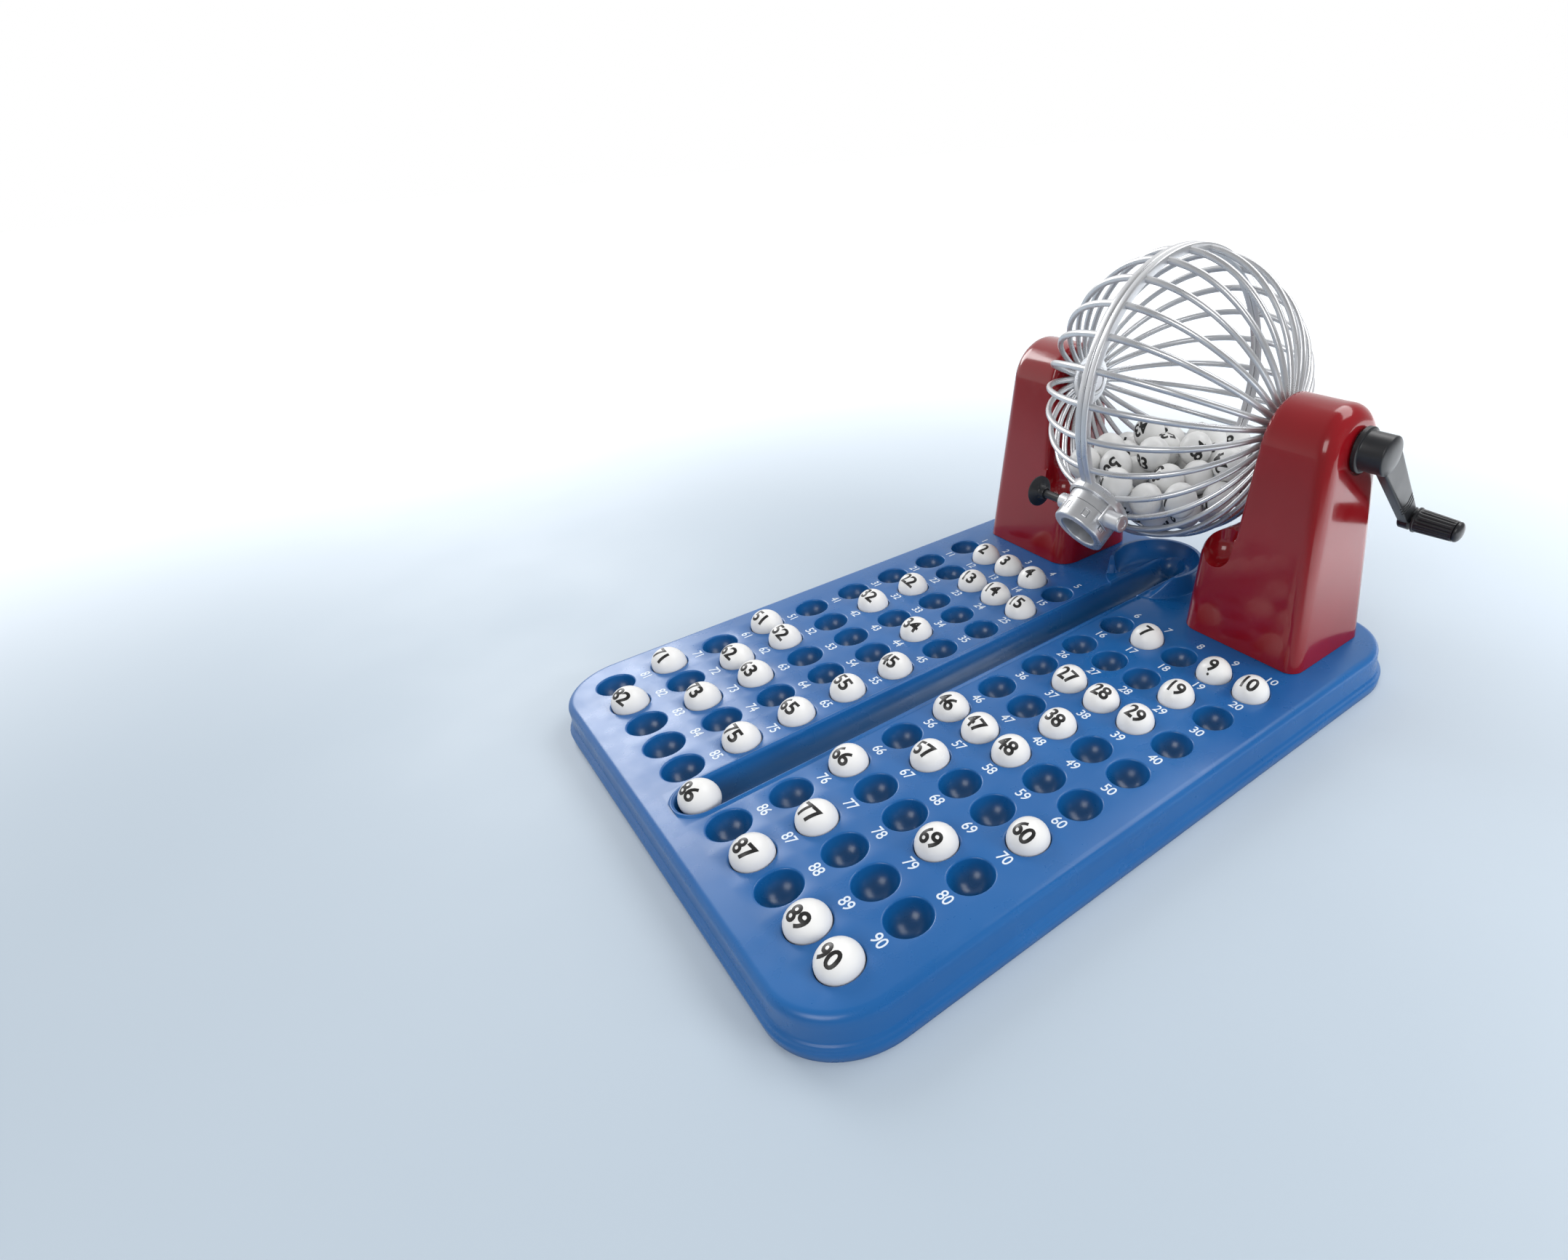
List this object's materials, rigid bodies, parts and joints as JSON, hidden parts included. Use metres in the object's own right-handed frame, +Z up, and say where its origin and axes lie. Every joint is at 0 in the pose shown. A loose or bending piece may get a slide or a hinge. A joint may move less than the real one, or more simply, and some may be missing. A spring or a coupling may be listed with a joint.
{
  "type": "table bingo machine",
  "caption": "Table bingo machine: wire drum with crank and sprung outlet on two stands over a tray of numbered cups.",
  "frame": {"origin": "middle of the tray's front foot strip, on the table", "axes": "+X towards the crank, +Y from the front towards the drum, +Z up"},
  "size_m": [0.3256, 0.4413, 0.2115],
  "materials": {
    "blue_plastic": "satin moulded",
    "red_plastic": "high gloss",
    "silver_plastic": "silver satin",
    "black_plastic": "semi-gloss",
    "white_plastic": "satin",
    "ball_plastic": "satin",
    "steel": "drawn"
  },
  "bodies": {
    "base": {"tray": "blue_plastic", "left_stand": "red_plastic", "right_stand": "red_plastic", "left_bush": "white_plastic", "right_bush": "white_plastic", "cage_balls": "ball_plastic", "ball_02": "ball_plastic", "ball_03": "ball_plastic", "ball_04": "ball_plastic", "ball_07": "ball_plastic", "ball_09": "ball_plastic", "ball_10": "ball_plastic", "ball_13": "ball_plastic", "ball_14": "ball_plastic", "ball_15": "ball_plastic", "ball_19": "ball_plastic", "ball_22": "ball_plastic", "ball_27": "ball_plastic", "ball_28": "ball_plastic", "ball_29": "ball_plastic", "ball_32": "ball_plastic", "ball_34": "ball_plastic", "ball_38": "ball_plastic", "ball_45": "ball_plastic", "ball_46": "ball_plastic", "ball_47": "ball_plastic", "ball_48": "ball_plastic", "ball_51": "ball_plastic", "ball_52": "ball_plastic", "ball_55": "ball_plastic", "ball_57": "ball_plastic", "ball_60": "ball_plastic", "ball_62": "ball_plastic", "ball_63": "ball_plastic", "ball_65": "ball_plastic", "ball_66": "ball_plastic", "ball_69": "ball_plastic", "ball_71": "ball_plastic", "ball_73": "ball_plastic", "ball_75": "ball_plastic", "ball_77": "ball_plastic", "ball_82": "ball_plastic", "ball_86": "ball_plastic", "ball_87": "ball_plastic", "ball_89": "ball_plastic", "ball_90": "ball_plastic"},
    "drum": {"left_cage_half": "silver_plastic", "right_cage_half": "silver_plastic", "left_axle": "steel", "left_axle_cap": "black_plastic", "crank_shaft": "steel", "outlet_body": "silver_plastic", "outlet_cap": "silver_plastic", "spring_housing": "silver_plastic", "return_spring": "steel", "crank": "black_plastic", "grip_pin": "black_plastic"},
    "plunger": {"plunger": "black_plastic"},
    "grip": {"grip": "black_plastic"}
  },
  "joints": [
    {"name": "drum_spin", "type": "hinge", "parent": "base", "child": "drum", "pos_m": [0, 0.3598, 0.1325], "axis": [1, 0, 0], "continuous": true},
    {"name": "plunger_slide", "type": "slide", "parent": "drum", "child": "plunger", "axis": [1, 0, 0], "range_m": [0, 0.004], "stiffness_N_per_m": 150, "springref_m": -0.002, "deforming": ["return_spring"]},
    {"name": "grip_spin", "type": "hinge", "parent": "drum", "child": "grip", "pos_m": [0.15, 0.40505, 0.08725], "axis": [1, 0, 0], "continuous": true}
  ]
}
